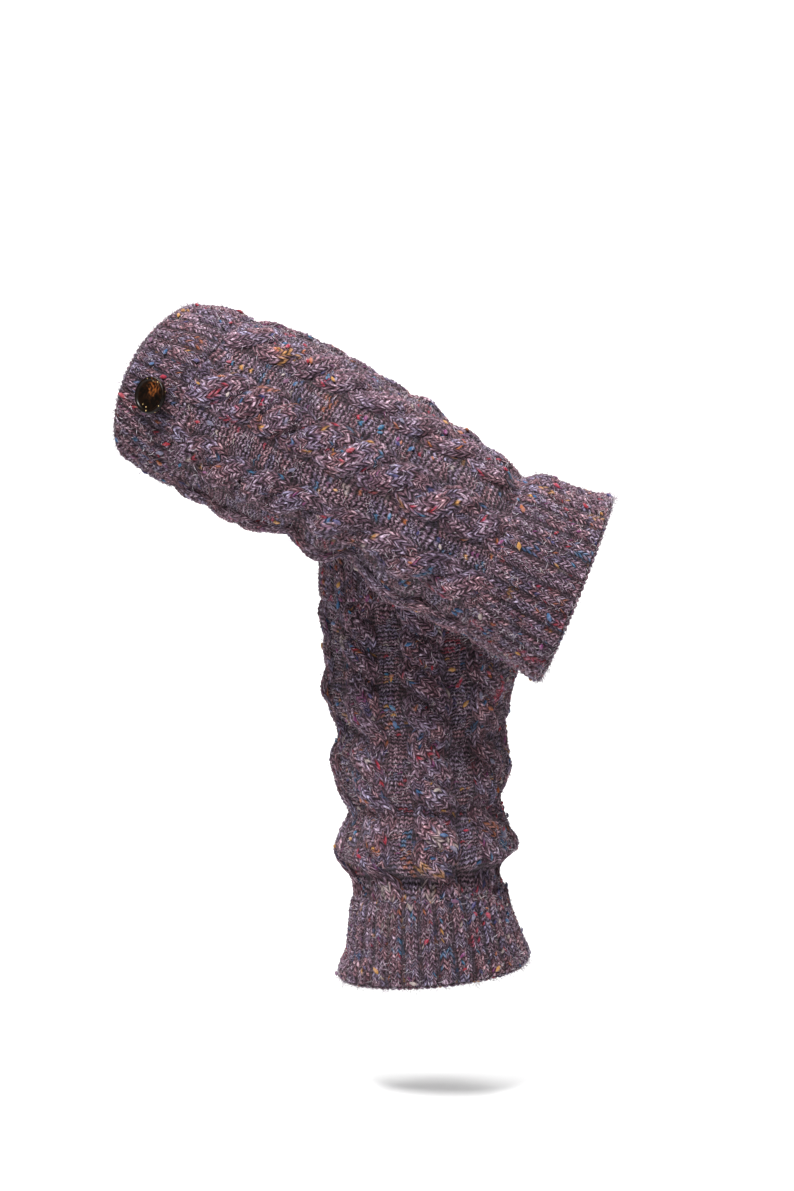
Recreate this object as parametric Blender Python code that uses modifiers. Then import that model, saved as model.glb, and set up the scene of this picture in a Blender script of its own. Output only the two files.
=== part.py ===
# Pair of cabled leg warmers knitted in tweed wool, in the hollow form they take when worn.
# One stands on a nearly upright leg; the other is raised in front of it and lies across its top.
# Units are metres once MM is applied. +Z is up and -Y is the side that the viewer sees.
# The origin is the centre of the standing leg warmer's upper cuff, where the calf holds it.

import math

import bmesh
import bpy
import numpy as np
from mathutils import Matrix, Vector

MM = 0.001

# Knit: eight rope cables around, parted by purl gutters, between two ribbed cuffs
CABLES_AROUND = 8
RIBS_AROUND = 32
UPPER_CUFF = 46 * MM
LOWER_CUFF = 66 * MM
SEAM_GAP = 0.3 * MM

# The body is two lengths of tube, which part at this crossing count
BODY_PARTING = 4

# Wall, counted inwards from the outline over the cable tops
CABLE_HEIGHT = 5.5 * MM
CABLE_WALL = 3.0 * MM
RIB_HEIGHT = 3.0 * MM
RIB_WALL = 3.0 * MM
RIM_ROUNDING = 1.2 * MM

# One cable repeat, as shares of its width
STRAND_SWING = 0.175
STRAND_HALF = 0.195
BACK_STRAND_DROP = 0.45
END_RELIEF = 0.6
END_FADE = 7 * MM
CUFF_TUCK = 1.5 * MM

# Facets
ROWS_PER_CROSSING = 4
COLUMN_SHARES = (-0.375, -0.30, -0.18, -0.06, 0.06, 0.18, 0.30, 0.375)
INNER_ROWS = 12
INNER_REACH = 0.8
CUFF_STRIPS = 3

# Button
BUTTON_RADIUS = 13.8 * MM
BUTTON_THICKNESS = 4.6 * MM
BUTTON_RIM = 2.6 * MM
BUTTON_DISH = 0.9 * MM
SHANK_RADIUS = 3.6 * MM
SHANK_HEIGHT = 1.6 * MM
SEAT_GAP = 0.3 * MM
BUTTON_SIDES = 28

# Outline radii in millimetres on the four sides of each tube, from the top rim down the leg.
# "side" is the viewer's right on the standing one and the upper edge on the raised one.
FORM_COLUMNS = ("along", "near", "side", "far", "back")

RAISED_FORM = (
    (-15, 56.0, 52.0, 64.0, 62.0),
    (8, 64.5, 63.5, 67.0, 65.5),
    (28, 69.5, 71.5, 69.0, 68.0),
    (52, 71.0, 73.5, 70.5, 69.5),
    (78, 72.5, 78.5, 71.5, 69.5),
    (106, 74.0, 80.2, 72.5, 72.2),
    (131, 73.0, 80.0, 72.0, 68.0),
    (147, 70.5, 78.5, 71.0, 63.5),
    (163, 72.5, 77.2, 71.5, 68.5),
    (184, 72.0, 75.4, 71.0, 65.7),
    (197, 69.5, 77.4, 70.5, 59.0),
    (211, 71.0, 72.7, 70.5, 62.0),
    (223, 72.0, 68.6, 70.0, 70.0),
    (237, 71.5, 68.9, 69.5, 72.2),
    (253, 69.5, 65.4, 69.0, 70.5),
    (271, 68.0, 62.7, 68.0, 70.5),
    (287, 65.5, 59.2, 67.0, 70.7),
    (298, 68.0, 65.8, 68.5, 71.0),
    (318, 70.0, 67.6, 70.0, 72.0),
    (340, 72.5, 71.6, 72.5, 75.2),
    (352, 74.0, 76.0, 74.0, 76.6),
    (368, 73.0, 73.4, 73.0, 77.6),
)

STANDING_FORM = (
    (0, 69.5, 70.0, 70.0, 70.5),
    (22, 72.5, 73.0, 73.0, 72.5),
    (50, 72.5, 75.0, 74.0, 73.5),
    (79, 73.0, 77.0, 74.0, 71.5),
    (104, 74.0, 79.0, 75.0, 73.0),
    (121, 76.0, 80.5, 76.0, 76.6),
    (136, 74.0, 73.4, 74.0, 71.2),
    (153, 70.0, 70.2, 71.0, 66.7),
    (171, 71.5, 67.2, 72.0, 73.0),
    (191, 72.5, 70.4, 72.5, 72.8),
    (206, 70.0, 65.0, 69.5, 67.5),
    (221, 67.0, 59.3, 66.0, 63.2),
    (235, 72.0, 62.2, 70.5, 71.5),
    (250, 76.5, 69.0, 74.5, 77.4),
    (260, 76.0, 69.8, 73.0, 72.5),
    (273, 66.0, 56.8, 64.5, 65.4),
    (283, 64.0, 56.4, 65.0, 66.5),
    (293, 66.0, 60.5, 66.5, 69.4),
    (307, 68.5, 62.0, 68.5, 71.2),
    (320, 71.0, 66.0, 71.0, 73.1),
    (333, 74.0, 70.4, 74.0, 76.6),
    (344, 76.5, 74.8, 76.5, 83.0),
    (353, 76.0, 74.4, 76.0, 84.6),
)

# Soft folds pressed into the wall: distance down the leg, middle and half spread around it,
# half height and depth in millimetres, and how far the fold falls for each degree around.
FOLD_COLUMNS = ("along", "around", "spread", "height", "depth", "fall")

RAISED_FOLDS = (
    (60, -44, 30, 9, 2.6, 0.10),
    (118, 28, 34, 8, 2.4, -0.16),
    (150, -62, 40, 8, 4.0, 0.22),
    (196, -58, 36, 7, 4.2, 0.18),
    (212, 24, 44, 8, 2.6, -0.20),
    (262, -18, 42, 8, 3.2, 0.12),
    (282, 52, 40, 7, 4.2, -0.16),
    (88, 172, 46, 9, 3.0, 0.14),
    (158, 150, 40, 8, 3.6, -0.18),
    (230, 196, 52, 8, 3.8, 0.12),
    (278, 158, 38, 7, 3.4, -0.10),
)

STANDING_FOLDS = (
    (112, -28, 34, 8, 2.4, 0.16),
    (154, -38, 46, 7, 3.6, 0.20),
    (166, 40, 36, 8, 2.8, -0.12),
    (218, 8, 60, 8, 3.6, 0.10),
    (268, 42, 40, 6, 6.0, 0.06),
    (266, -30, 36, 6, 5.0, 0.16),
    (66, 168, 44, 9, 3.0, 0.12),
    (140, 196, 48, 8, 3.8, -0.16),
    (202, 158, 40, 8, 3.4, 0.20),
    (270, 184, 60, 7, 5.0, -0.08),
)

# Distance down the near side of each cable crossing, in millimetres
RAISED_CROSSINGS = (55, 85, 109, 136, 171, 203, 242, 278)
STANDING_CROSSINGS = (62, 88, 114, 144, 174, 204, 232, 262)

# Angle of one cable's middle, from the side nearest the viewer
RAISED_CABLE_TURN = math.radians(13)
STANDING_CABLE_TURN = math.radians(5)

# Axes of the two tubes
STANDING_LEAN = math.radians(4.6)
RAISED_TOP = (-195 * MM, -122.5 * MM, 152.8 * MM)
RAISED_FALL = math.radians(26.5)
RAISED_NEARING = math.radians(2.2)

# Button places: distance below the rim, angle around, and tilt towards the rim
RAISED_BUTTON = {"below_rim": 26 * MM, "around": math.radians(-8), "tilt": math.radians(17)}
STANDING_BUTTON = {"below_rim": 26 * MM, "around": math.radians(172), "tilt": math.radians(4)}

# Colour, roughness and metallic value of each finish
FINISHES = {
    "tweed_wool": ((0.205, 0.150, 0.172, 1.0), 0.95, 0.0),
    "tweed_rib": ((0.185, 0.138, 0.158, 1.0), 0.95, 0.0),
    "mottled_horn": ((0.030, 0.014, 0.008, 1.0), 0.22, 0.0),
}


def clear_scene():
    for item in list(bpy.data.objects):
        bpy.data.objects.remove(item, do_unlink=True)


def collection(name):
    group = bpy.data.collections.new(name)
    bpy.context.scene.collection.children.link(group)
    return group


def finish(name):
    colour, roughness, metallic = FINISHES[name]
    material = bpy.data.materials.new(name)
    material.use_nodes = True
    shader = material.node_tree.nodes["Principled BSDF"]
    shader.inputs["Base Color"].default_value = colour
    shader.inputs["Roughness"].default_value = roughness
    shader.inputs["Metallic"].default_value = metallic
    return material


# A curve through a table's rows: cubic pieces whose slopes come from the neighbouring rows
def smooth_between(at, places, values):
    places = np.asarray(places, float)
    values = np.asarray(values, float)
    slopes = np.gradient(values, places)
    at = np.clip(at, places[0], places[-1])
    k = np.clip(np.searchsorted(places, at, side="right") - 1, 0, len(places) - 2)
    step = places[k + 1] - places[k]
    t = (at - places[k]) / step
    start = (1 + 2 * t) * (1 - t) ** 2 * values[k]
    end = t * t * (3 - 2 * t) * values[k + 1]
    bend = t * (1 - t) * step * ((1 - t) * slopes[k] - t * slopes[k + 1])
    return start + end + bend


# Shortest signed angle between two directions around the tube
def angle_between(around, middle):
    return (around - middle + math.pi) % (2 * math.pi) - math.pi


class LegWarmer:
    """Shape rules of one leg warmer. Angles run from the near side towards the table's side."""

    def __init__(self, top, down, side, form, folds, crossings, cable_turn, rims):
        self.top = np.array(top)
        self.down = np.array(down)
        self.side = np.array(side)
        self.near = np.cross(self.down, self.side)
        if self.near[1] > 0:
            self.near = -self.near
        self.form = dict(zip(FORM_COLUMNS, np.array(form).T * MM))
        self.folds = [dict(zip(FOLD_COLUMNS, row)) for row in folds]
        self.crossings = np.array(crossings) * MM
        self.cable_turn = cable_turn
        self.rims = rims

    # Distance down the leg of the top and bottom rims, which lean and bow around the leg
    def top_rim(self, around):
        rim = self.rims["top"]
        bow = rim["lean"] * np.cos(around) + rim["bow"] * (1 + np.cos(2 * around))
        return rim["along"] - bow - rim["skew"] * np.sin(around)

    def bottom_rim(self, around):
        rim = self.rims["bottom"]
        return rim["along"] + rim["lean"] * np.cos(around) - rim["skew"] * np.sin(around)

    # Outline radius: four table sides blended by the squares of cosine and sine, less the folds
    def outline(self, around, along):
        cosine = np.cos(around)
        sine = np.sin(around)
        weights = {
            "near": np.maximum(cosine, 0) ** 2,
            "far": np.maximum(-cosine, 0) ** 2,
            "side": np.maximum(sine, 0) ** 2,
            "back": np.maximum(-sine, 0) ** 2,
        }
        radius = 0
        for name, weight in weights.items():
            radius = radius + weight * smooth_between(along, self.form["along"], self.form[name])
        for fold in self.folds:
            turn = np.degrees(angle_between(around, math.radians(fold["around"])))
            middle = (fold["along"] + fold["fall"] * turn) * MM
            across = np.exp(-(((along - middle) / (fold["height"] * MM)) ** 2))
            spread = np.exp(-((turn / fold["spread"]) ** 4))
            radius = radius - fold["depth"] * MM * across * spread
        return radius

    # First and last distance of the cabled body at each angle
    def body_span(self, around):
        first = self.top_rim(around) + UPPER_CUFF + SEAM_GAP
        last = self.bottom_rim(around) - LOWER_CUFF - SEAM_GAP
        return first, last

    # Distance down the leg where the rope has made this many crossings; one lies at each half
    def along_at(self, crossed, around):
        first, last = self.body_span(around)
        near_first, near_last = self.body_span(0)
        count = len(self.crossings)
        marks = np.concatenate([[0], np.arange(count) + 0.5, [count]])
        shares = (self.crossings - near_first) / (near_last - near_first)
        share = smooth_between(crossed, marks, np.concatenate([[0], shares, [1]]))
        return first + (last - first) * share

    def place(self, around, along, radius):
        outward = np.cos(around)[..., None] * self.near + np.sin(around)[..., None] * self.side
        return self.top + along[..., None] * self.down + radius[..., None] * outward


# Height of a two-strand rope over the gutter: each strand is a round-topped band that swings
# from side to side and lies in front while it crosses to the right, behind while it returns.
def rope_height(share, phase):
    height = np.zeros_like(share)
    for start in (0, math.pi):
        turn = phase + start
        middle = -STRAND_SWING * np.cos(turn)
        across = np.clip(np.abs(share - middle) / STRAND_HALF, 0, 1)
        lift = 1 - BACK_STRAND_DROP * 0.5 * (1 - np.sin(turn))
        height = np.maximum(height, np.sqrt(1 - across**2) * lift)
    return height


# Rows follow the strands across each cable: they fall by one crossing from its left strand to
# its right one, climb back in the gutter, and run level again at both ends of a length.
def row_slant(share, row_crossed, start, end):
    reach = np.clip(share / STRAND_SWING, -1, 1)
    slant = np.arcsin(reach) / math.pi
    room = np.clip(np.minimum(row_crossed - start, end - row_crossed) / 1.2, 0, 1)
    return slant * room


# Angles of the columns around the body: the same shares of the repeat for each cable
def cable_turns(warmer):
    cables = np.arange(CABLES_AROUND)[:, None]
    turns = warmer.cable_turn + (cables + np.array(COLUMN_SHARES)) * 2 * math.pi / CABLES_AROUND
    return turns.ravel()


# Rings of the cabled wall: rows follow the crossings, columns follow the cable repeat
def cable_rings(warmer, start, end):
    turns = cable_turns(warmer)
    rows = ROWS_PER_CROSSING * (end - start)
    row_crossed = np.linspace(start, end, rows + 1)[:, None]
    around = np.broadcast_to(turns, (rows + 1, len(turns)))
    share = np.broadcast_to(np.tile(COLUMN_SHARES, CABLES_AROUND), around.shape)
    crossed = row_crossed + row_slant(share, row_crossed, start, end)
    along = warmer.along_at(crossed, around)
    along[0] += SEAM_GAP / 2 if start > 0 else 0
    along[-1] -= SEAM_GAP / 2 if end < len(warmer.crossings) else 0
    first, last = warmer.body_span(around)
    from_end = np.clip(np.minimum(along - first, last - along) / END_FADE, 0, 1)
    fade = END_RELIEF + (1 - END_RELIEF) * from_end
    height = rope_height(share, math.pi * crossed) * fade * CABLE_HEIGHT
    radius = warmer.outline(around, along) - CABLE_HEIGHT + height
    return warmer.place(around, along, radius)


# Angles of the columns around a cuff: one on each rib and one between two ribs
def rib_turns(warmer):
    columns = 2 * RIBS_AROUND
    return warmer.cable_turn + np.arange(columns) * 2 * math.pi / columns


# Rings of a ribbed cuff: every other column stands up as a rib, and the free rim is rounded
def rib_rings(warmer, start, end, free_rim):
    around = rib_turns(warmer)
    rib = (np.arange(len(around)) + 1) % 2
    first = start(around)
    last = end(around)
    parts = np.linspace(0, 1, CUFF_STRIPS + 1)
    along = first + (last - first) * parts[:, None]
    sunk = np.zeros_like(along)
    sunk[-1 if free_rim == "top" else 0] = CUFF_TUCK
    inset = first + RIM_ROUNDING if free_rim == "top" else last - RIM_ROUNDING
    row = 0 if free_rim == "top" else len(along)
    along = np.insert(along, 1 if free_rim == "top" else len(along) - 1, inset, axis=0)
    sunk = np.insert(sunk, row, RIM_ROUNDING, axis=0)
    around = np.broadcast_to(around, along.shape)
    radius = warmer.outline(around, along) - sunk - RIB_HEIGHT * (1 - rib)
    return warmer.place(around, along, radius)


# Plain inner rings between the same two rims, with a point under every other outer column. Each
# lies under the lowest outline within its reach in rows, so the wall is as thick in a fold.
def inner_rings(warmer, turns, start, end, rows, depth, reach):
    around = turns[::2]
    first = start(around)
    last = end(around)
    along = first + (last - first) * np.linspace(0, 1, rows + 1)[:, None]
    around = np.broadcast_to(around, along.shape)
    steps = (last - first) / rows * np.linspace(-reach, reach, 5)[:, None, None]
    lowest = warmer.outline(around, along + steps).min(axis=0)
    return warmer.place(around, along, lowest - depth)


# Quads of a ring-by-ring tube whose first point has the index start
def tube_faces(rows, columns, start, flip):
    faces = []
    for row in range(rows - 1):
        for column in range(columns):
            after = (column + 1) % columns
            face = [
                start + row * columns + column,
                start + row * columns + after,
                start + (row + 1) * columns + after,
                start + (row + 1) * columns + column,
            ]
            faces.append(face[::-1] if flip else face)
    return faces


# Band between an outer ring and an inner ring that has half as many points
def rim_faces(outer_start, outer_columns, inner_start, inner_columns):
    faces = []
    for k in range(inner_columns):
        inner = inner_start + k
        inner_next = inner_start + (k + 1) % inner_columns
        outer = [outer_start + (2 * k + step) % outer_columns for step in range(3)]
        faces.append([inner, outer[0], outer[1]])
        faces.append([inner, outer[1], inner_next])
        faces.append([inner_next, outer[1], outer[2]])
    return faces


# Closed wall from outer and inner rings
def wall(name, outer, inner, material, group):
    rows, columns = outer.shape[:2]
    inner_rows, inner_columns = inner.shape[:2]
    points = np.concatenate([outer.reshape(-1, 3), inner.reshape(-1, 3)])
    inner_start = rows * columns
    faces = tube_faces(rows, columns, 0, False)
    faces += tube_faces(inner_rows, inner_columns, inner_start, True)
    faces += rim_faces(0, columns, inner_start, inner_columns)
    last_outer = (rows - 1) * columns
    last_inner = inner_start + (inner_rows - 1) * inner_columns
    faces += rim_faces(last_outer, columns, last_inner, inner_columns)
    mesh = bpy.data.meshes.new(name)
    mesh.from_pydata(points.tolist(), [], faces)
    bm = bmesh.new()
    bm.from_mesh(mesh)
    bmesh.ops.recalc_face_normals(bm, faces=bm.faces)
    bmesh.ops.triangulate(bm, faces=bm.faces)
    bm.to_mesh(mesh)
    bm.free()
    mesh.shade_smooth()
    mesh.materials.append(material)
    item = bpy.data.objects.new(name, mesh)
    group.objects.link(item)
    return item


# Turned button: a disc with a raised rim, a shallow dish and a shank behind
def button_profile():
    half = BUTTON_THICKNESS / 2
    floor = BUTTON_RADIUS - BUTTON_RIM
    return (
        (0, 2 * half - BUTTON_DISH * 0.6),
        (floor * 0.55, 2 * half - BUTTON_DISH),
        (floor, 2 * half - BUTTON_DISH),
        (floor + BUTTON_RIM * 0.45, 2 * half),
        (BUTTON_RADIUS - 0.8 * MM, 2 * half - 0.4 * MM),
        (BUTTON_RADIUS, half),
        (BUTTON_RADIUS - 1.4 * MM, 0.3 * MM),
        (SHANK_RADIUS, 0),
        (SHANK_RADIUS, -SHANK_HEIGHT),
        (0, -SHANK_HEIGHT),
    )


# Seat of a button on a cuff: it faces outwards, tipped towards the rim, and stands clear of
# the highest point of the knit under it by the seat gap.
def seat_button(warmer, cuff_points, place):
    around = np.array(place["around"])
    along = warmer.top_rim(around) + place["below_rim"]
    foot = warmer.place(around, along, warmer.outline(around, along))
    step = 4 * MM
    above = warmer.place(around, along - step, warmer.outline(around, along - step))
    below = warmer.place(around, along + step, warmer.outline(around, along + step))
    slope = Vector(below - above).normalized()
    outward = Vector(np.cos(around) * warmer.near + np.sin(around) * warmer.side)
    across = slope.cross(outward).normalized()
    facing = across.cross(slope).normalized()
    if facing.dot(outward) < 0:
        facing = -facing
    turn = Matrix.Rotation(place["tilt"], 3, across)
    if (turn @ facing).dot(Vector(warmer.down)) > facing.dot(Vector(warmer.down)):
        turn = turn.transposed()
    facing = (turn @ facing).normalized()
    offsets = cuff_points - foot
    heights = offsets @ np.array(facing)
    sideways = np.linalg.norm(offsets - heights[:, None] * np.array(facing), axis=1)
    under_disc = heights[sideways < BUTTON_RADIUS + 2 * MM].max()
    under_shank = heights[sideways < SHANK_RADIUS + 5 * MM].max() + SHANK_HEIGHT
    lift = max(under_disc, under_shank) + SEAT_GAP
    return Vector(foot) + facing * lift, facing


def button(name, place, facing, material, group):
    mesh = bpy.data.meshes.new(name)
    points = [(radius, 0, height) for radius, height in button_profile()]
    edges = [(k, k + 1) for k in range(len(points) - 1)]
    mesh.from_pydata(points, edges, [])
    item = bpy.data.objects.new(name, mesh)
    group.objects.link(item)
    spin = item.modifiers.new("turn", "SCREW")
    spin.steps = BUTTON_SIDES
    spin.render_steps = BUTTON_SIDES
    spin.use_merge_vertices = True
    spin.merge_threshold = 0.00005
    spin.use_smooth_shade = True
    item.location = place
    item.rotation_mode = "QUATERNION"
    item.rotation_quaternion = facing.to_track_quat("Z", "Y")
    mesh.materials.append(material)
    return item


# The knitted pieces of one leg warmer, from the upper cuff down, and its button
def build_warmer(prefix, warmer, button_place, materials, group):
    def upper_end(around):
        return warmer.top_rim(around) + UPPER_CUFF

    def body_start(around):
        return upper_end(around) + SEAM_GAP

    def parting_above(around):
        return warmer.along_at(BODY_PARTING, around) - SEAM_GAP / 2

    def parting_below(around):
        return warmer.along_at(BODY_PARTING, around) + SEAM_GAP / 2

    def lower_start(around):
        return warmer.bottom_rim(around) - LOWER_CUFF

    def body_end(around):
        return lower_start(around) - SEAM_GAP

    rib_depth = RIB_HEIGHT + RIB_WALL
    cable_depth = CABLE_HEIGHT + CABLE_WALL
    upper = rib_rings(warmer, warmer.top_rim, upper_end, "top")
    ribs = rib_turns(warmer)
    upper_inner = inner_rings(warmer, ribs, warmer.top_rim, upper_end, CUFF_STRIPS, rib_depth, 0)
    wall(prefix + "_upper_cuff", upper, upper_inner, materials["tweed_rib"], group)

    count = len(warmer.crossings)
    lengths = (
        ("_upper_body", 0, BODY_PARTING, body_start, parting_above),
        ("_lower_body", BODY_PARTING, count, parting_below, body_end),
    )
    for name, start, end, first, last in lengths:
        turns = cable_turns(warmer)
        inner = inner_rings(warmer, turns, first, last, INNER_ROWS, cable_depth, INNER_REACH)
        outer = cable_rings(warmer, start, end)
        wall(prefix + name, outer, inner, materials["tweed_wool"], group)

    lower = rib_rings(warmer, lower_start, warmer.bottom_rim, "bottom")
    lower_inner = inner_rings(warmer, ribs, lower_start, warmer.bottom_rim, CUFF_STRIPS, rib_depth, 0)
    wall(prefix + "_lower_cuff", lower, lower_inner, materials["tweed_rib"], group)

    place, facing = seat_button(warmer, upper.reshape(-1, 3), button_place)
    button(prefix + "_button", place, facing, materials["mottled_horn"], group)


def standing_warmer():
    down = (math.sin(STANDING_LEAN), 0, -math.cos(STANDING_LEAN))
    side = (math.cos(STANDING_LEAN), 0, math.sin(STANDING_LEAN))
    top = -np.array(down) * UPPER_CUFF / 2
    rims = {
        "top": {"along": 0, "lean": 0, "bow": 0, "skew": 0},
        "bottom": {"along": 351.5 * MM, "lean": 0, "skew": 1 * MM},
    }
    return LegWarmer(
        top, down, side, STANDING_FORM, STANDING_FOLDS, STANDING_CROSSINGS, STANDING_CABLE_TURN, rims
    )


def raised_warmer():
    level = math.cos(RAISED_FALL) * math.cos(RAISED_NEARING)
    down = (level, -math.sin(RAISED_NEARING), -math.sin(RAISED_FALL) * math.cos(RAISED_NEARING))
    side = (math.sin(RAISED_FALL), 0, math.cos(RAISED_FALL))
    rims = {
        "top": {"along": 8.5 * MM, "lean": 11 * MM, "bow": 3 * MM, "skew": 1.5 * MM},
        "bottom": {"along": 358 * MM, "lean": 1 * MM, "skew": 6 * MM},
    }
    return LegWarmer(
        RAISED_TOP, down, side, RAISED_FORM, RAISED_FOLDS, RAISED_CROSSINGS, RAISED_CABLE_TURN, rims
    )


clear_scene()
pair = collection("leg_warmers")
finishes = {name: finish(name) for name in FINISHES}
build_warmer("standing", standing_warmer(), STANDING_BUTTON, finishes, pair)
build_warmer("raised", raised_warmer(), RAISED_BUTTON, finishes, pair)
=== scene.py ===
import math

import bmesh
import bpy
import numpy as np
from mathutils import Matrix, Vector


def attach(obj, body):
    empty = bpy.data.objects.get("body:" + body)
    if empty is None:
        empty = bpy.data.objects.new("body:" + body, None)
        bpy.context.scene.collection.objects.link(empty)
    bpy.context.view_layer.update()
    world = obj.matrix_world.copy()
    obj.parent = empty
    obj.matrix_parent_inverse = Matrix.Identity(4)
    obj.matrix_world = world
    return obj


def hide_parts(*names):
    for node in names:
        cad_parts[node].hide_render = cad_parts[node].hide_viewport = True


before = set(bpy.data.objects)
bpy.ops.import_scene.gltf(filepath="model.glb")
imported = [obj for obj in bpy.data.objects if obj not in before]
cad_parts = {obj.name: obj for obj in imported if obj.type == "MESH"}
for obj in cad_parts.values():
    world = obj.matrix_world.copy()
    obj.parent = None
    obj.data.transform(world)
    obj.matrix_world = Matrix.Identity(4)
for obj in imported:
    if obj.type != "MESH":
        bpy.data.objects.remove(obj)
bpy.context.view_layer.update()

print("frame loaded:", len(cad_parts), "solids")

# Camera at the viewer's place: a long lens a little above, tilted down by five degrees
view = {"place": (-0.0085, -2.1916, 0.1663), "tilt": math.radians(85), "lens": 82.5}
cameraData = bpy.data.cameras.new("camera")
cameraData.lens = view["lens"]
cameraData.sensor_width = 36
camera = bpy.data.objects.new("camera", cameraData)
camera.location = view["place"]
camera.rotation_euler = (view["tilt"], 0, 0)
bpy.context.scene.collection.objects.link(camera)
bpy.context.scene.camera = camera
bpy.context.scene.view_settings.view_transform = "Standard"

mm = 0.001
fullTurn = 2 * math.pi

# Knit shared by both leg warmers: stitches around, rows and heights of the fabric
knit = {
    "cables": 8,
    "zigzag": 0.62,
    "sway": 0.035,
    "swayRoom": 25 * mm,
    "ribs": 32,
    "stitchesPerRib": 3,
    "knitShare": 0.79,
    "rowsPerCrossing": 10,
    "rowPitch": 2.6 * mm,
    "upperCuffRows": 14,
    "lowerCuffRows": 20,
    "upperCuff": 46 * mm,
    "lowerCuff": 66 * mm,
    "cableHeight": 5.5 * mm,
    "ribHeight": 3.0 * mm,
    "bodyWall": 7.6 * mm,
    "cuffWall": 5.0 * mm,
    "seed": 11,
}

# The nearly upright one. Table columns: along, near, side, far, back (radii of the outline, in mm)
standing = {
    "name": "standing",
    "flecks": 1.6,
    "nepps": 230,
    "lean": math.radians(4.6),
    "cableTurn": math.radians(5),
    "seat": (10.599, 74.056, -1.953),
    "facing": (0.12636, 0.98083, 0.14836),
    "flatUpperCuff": (0.452, 0.046),
    "flatBody": (0.452, 0.238),
    "flatLowerCuff": (0.440, 0.066),
    "topRim": {"along": 0.0, "lean": 0.0, "bow": 0.0, "skew": 0.0},
    "bottomRim": {"along": 351.5 * mm, "lean": 0.0, "skew": 1 * mm},
    "crossings": (62, 88, 114, 144, 174, 204, 232, 262),
    "form": (
        (0, 69.5, 70.0, 70.0, 70.5),
        (22, 72.5, 73.0, 73.0, 72.5),
        (50, 72.5, 75.0, 74.0, 73.5),
        (79, 73.0, 77.0, 74.0, 71.5),
        (104, 74.0, 79.0, 75.0, 73.0),
        (121, 76.0, 80.5, 76.0, 76.6),
        (136, 74.0, 73.4, 74.0, 71.2),
        (153, 70.0, 70.2, 71.0, 66.7),
        (171, 71.5, 67.2, 72.0, 73.0),
        (191, 72.5, 70.4, 72.5, 72.8),
        (206, 70.0, 65.0, 69.5, 67.5),
        (221, 67.0, 59.3, 66.0, 63.2),
        (235, 72.0, 62.2, 70.5, 71.5),
        (250, 76.5, 69.0, 74.5, 77.4),
        (260, 76.0, 69.8, 73.0, 72.5),
        (273, 66.0, 56.8, 64.5, 65.4),
        (283, 64.0, 56.4, 65.0, 66.5),
        (293, 66.0, 60.5, 66.5, 69.4),
        (307, 68.5, 62.0, 68.5, 71.2),
        (320, 71.0, 66.0, 71.0, 73.1),
        (333, 74.0, 70.4, 74.0, 76.6),
        (344, 76.5, 74.8, 76.5, 83.0),
        (353, 76.0, 74.4, 76.0, 84.6),
    ),
    # Fold columns: along (mm), around (degrees), spread (degrees), height (mm), depth (mm), fall
    "folds": (
        (112, -28, 34, 8, 2.4, 0.16),
        (154, -38, 46, 7, 3.6, 0.20),
        (166, 40, 36, 8, 2.8, -0.12),
        (218, 8, 60, 8, 3.6, 0.10),
        (268, 42, 40, 6, 6.0, 0.06),
        (266, -30, 36, 6, 5.0, 0.16),
        (66, 168, 44, 9, 3.0, 0.12),
        (140, 196, 48, 8, 3.8, -0.16),
        (202, 158, 40, 8, 3.4, 0.20),
        (270, 184, 60, 7, 5.0, -0.08),
    ),
}

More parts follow.
